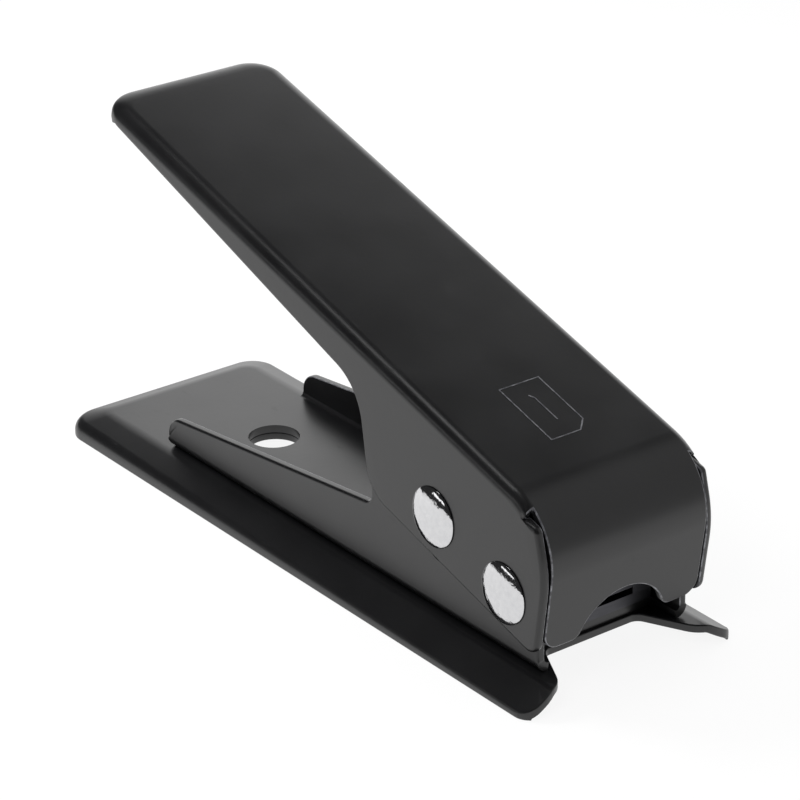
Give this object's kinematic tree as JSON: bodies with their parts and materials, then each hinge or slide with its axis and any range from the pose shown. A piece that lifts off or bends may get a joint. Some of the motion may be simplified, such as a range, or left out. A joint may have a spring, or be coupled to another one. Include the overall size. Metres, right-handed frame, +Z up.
{
  "type": "sim card cutter",
  "caption": "Hand lever punch that trims a sim card to a smaller size: a folded black lever riveted to a channel frame drives a sprung punch over a die, on a stamped base.",
  "frame": {"origin": "middle of the base plate's footprint, on the table", "axes": "+Z up; -Y towards the card mouth and the front flap, +Y towards the lever's handle end; +X to the right as seen by someone facing the card mouth"},
  "size_m": [0.036, 0.1098, 0.0552],
  "materials": {
    "black_paint": "semi-gloss stoved black paint on folded steel sheet",
    "chrome": "polished chrome plate",
    "plated_steel": "bright zinc plate on turned steel",
    "die_steel": "ground and hardened tool steel",
    "dark_steel": "oiled dark steel",
    "spring_steel": "drawn spring wire"
  },
  "bodies": {
    "base": {"base_plate": "black_paint", "channel_floor": "black_paint", "channel_cheek_left": "black_paint", "channel_cheek_right": "black_paint", "die_plate": "die_steel", "card_guide_left": "die_steel", "card_guide_right": "die_steel", "card_stop": "die_steel", "stripper_plate": "die_steel", "stack_screws": "plated_steel", "guide_posts": "die_steel", "return_springs": "spring_steel"},
    "lever": {"lever": "black_paint", "pivot_rivet": "chrome", "pivot_rivet_cap": "chrome", "pivot_bush": "plated_steel", "pivot_washers": "plated_steel", "drive_rivet": "chrome", "drive_rivet_cap": "chrome", "drive_bush": "plated_steel"},
    "punch": {"punch_holder": "dark_steel", "punch": "die_steel", "punch_screws": "plated_steel"}
  },
  "joints": [
    {"name": "lever_hinge", "type": "hinge", "parent": "base", "child": "lever", "pos_m": [0, -0.04575, 0.01395], "axis": [-1, 0, 0], "range_deg": [0, 18], "stiffness_Nm_per_rad": 0.6, "springref_deg": -20.05},
    {"name": "punch_slide", "type": "slide", "parent": "base", "child": "punch", "axis": [0, 0, -1], "range_m": [0, 0.00476], "deforming": ["return_springs"]}
  ],
  "couplings": [
    {"joint": "punch_slide", "follows": "lever_hinge", "m_per_rad": 0.01512}
  ]
}
